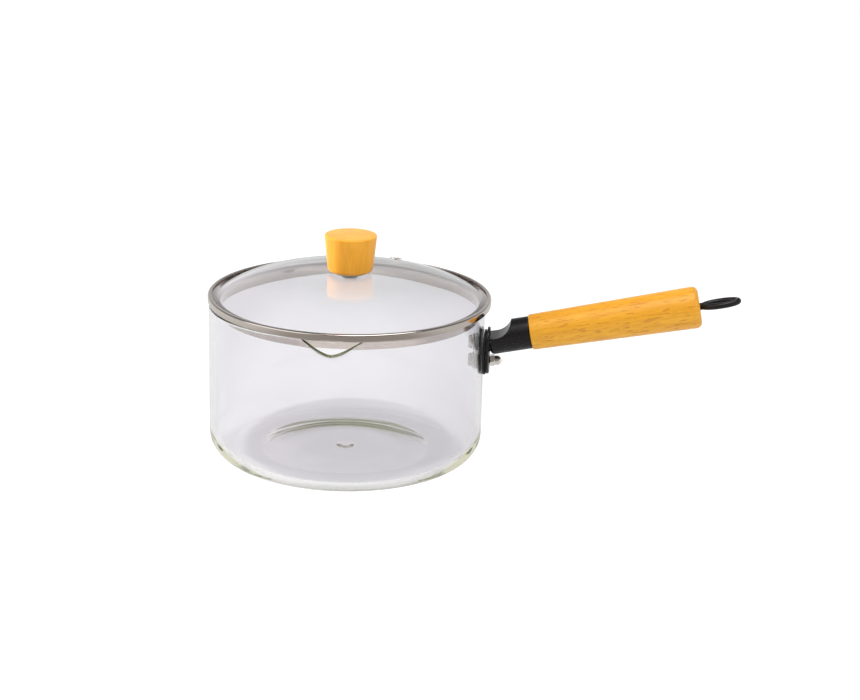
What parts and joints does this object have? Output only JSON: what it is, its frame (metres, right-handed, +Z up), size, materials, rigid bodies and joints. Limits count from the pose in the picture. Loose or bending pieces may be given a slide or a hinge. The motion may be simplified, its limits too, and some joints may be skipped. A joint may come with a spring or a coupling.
{
  "type": "glass saucepan",
  "caption": "Clear glass saucepan with a pouring lip, a sloping wooden grip on a bolted bracket with a hanging eye, and a domed glass lid in a steel rim with a wooden knob.",
  "frame": {"origin": "centre of the pot's base, on the surface the pot stands on", "axes": "+Z up along the pot's axis, +X from the pot's axis towards the handle, -Y towards the pouring lip"},
  "size_m": [0.3163, 0.176, 0.1355],
  "materials": {
    "clear_glass": "clear, fire-polished",
    "polished_steel": "polished stainless steel",
    "blackened_steel": "black, satin",
    "black_plastic": "satin moulded phenolic",
    "black_silicone": "matte",
    "clear_silicone": "translucent",
    "beech": "oiled, turned",
    "brass": "machined"
  },
  "bodies": {
    "pan": {"glass_pot": "clear_glass", "bracket_gasket": "black_silicone", "handle_bracket": "black_plastic", "upper_bolt": "polished_steel", "lower_bolt": "polished_steel", "cap_nut": "polished_steel", "upper_inner_washer": "polished_steel", "lower_inner_washer": "polished_steel", "upper_inner_seal": "clear_silicone", "lower_inner_seal": "clear_silicone", "rod_insert": "brass", "beech_grip": "beech", "hanging_rod": "blackened_steel"},
    "lid": {"lid_glass": "clear_glass", "lid_rim": "polished_steel", "vent_eyelet": "polished_steel", "lid_knob": "beech", "knob_insert": "brass", "knob_seal": "clear_silicone", "under_lid_seal": "clear_silicone", "under_lid_washer": "polished_steel", "knob_bolt": "polished_steel"}
  },
  "joints": [
    {"name": "lid_lift", "type": "slide", "parent": "pan", "child": "lid", "axis": [0, 0, 1], "range_m": [0, 0.12]}
  ]
}
